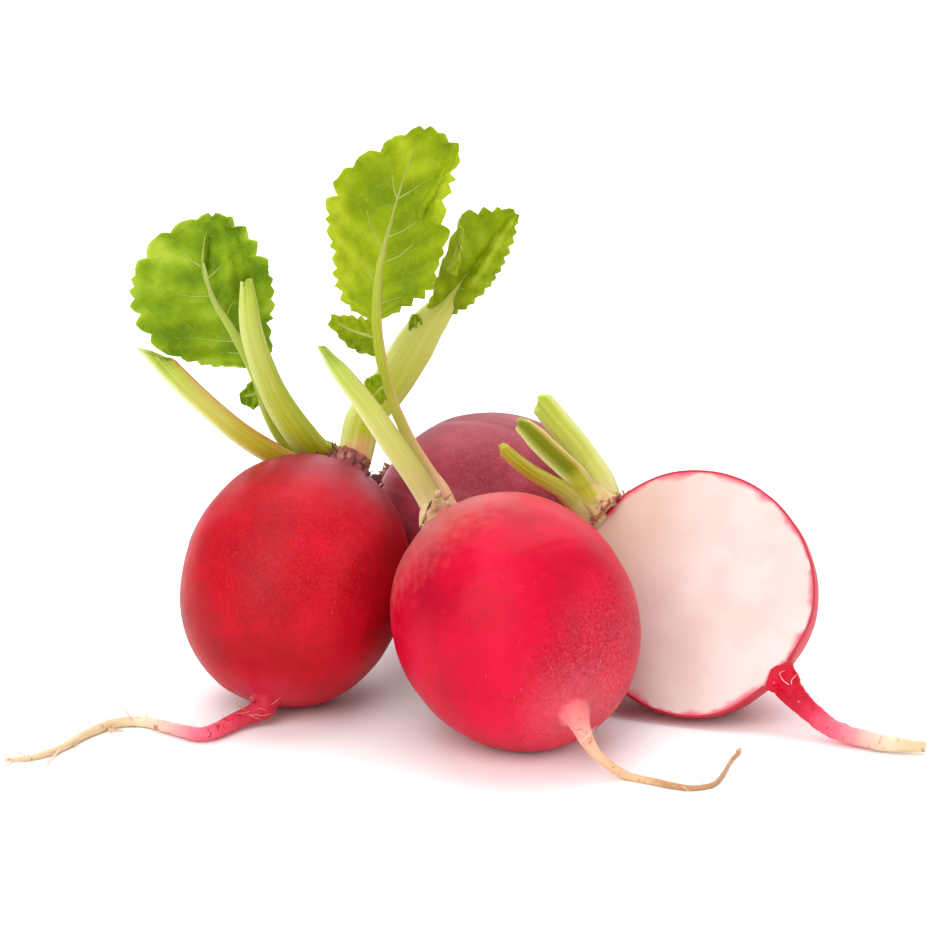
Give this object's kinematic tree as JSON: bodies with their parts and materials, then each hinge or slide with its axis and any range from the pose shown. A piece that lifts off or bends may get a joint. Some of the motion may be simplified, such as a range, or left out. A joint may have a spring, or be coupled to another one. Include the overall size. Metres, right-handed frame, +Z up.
{
  "type": "bunch of radishes",
  "caption": "Small round red radishes lying together, whole ones and a cut half, with taproots, cut leaf stalks and young toothed leaves.",
  "frame": {"origin": "middle of the bunch's bounding box at the level of the table", "axes": "+X to the right along the row of radishes, +Y away from the front, +Z up"},
  "size_m": [0.1336, 0.0814, 0.0867],
  "materials": {
    "crimson_skin": "smooth radish skin, soft sheen",
    "mauve_skin": "smooth radish skin, soft sheen",
    "cut_radish": "moist white flesh on the cut face, crimson skin round it",
    "leaf": "thin matt leaf with raised veins",
    "stalk": "smooth juicy leaf stalk"
  },
  "bodies": {
    "root": {"left_radish_root": "crimson_skin", "centre_radish_root": "crimson_skin", "back_radish_root": "mauve_skin", "half_radish_root": "cut_radish", "left_leaf": "leaf", "right_leaf": "leaf", "centre_leaf": "leaf", "left_outer_stalk": "stalk", "left_front_stalk": "stalk", "centre_cut_stalk": "stalk", "half_upper_stub": "stalk", "half_channelled_stub": "stalk", "half_lower_stub": "stalk"}
  },
  "joints": []
}
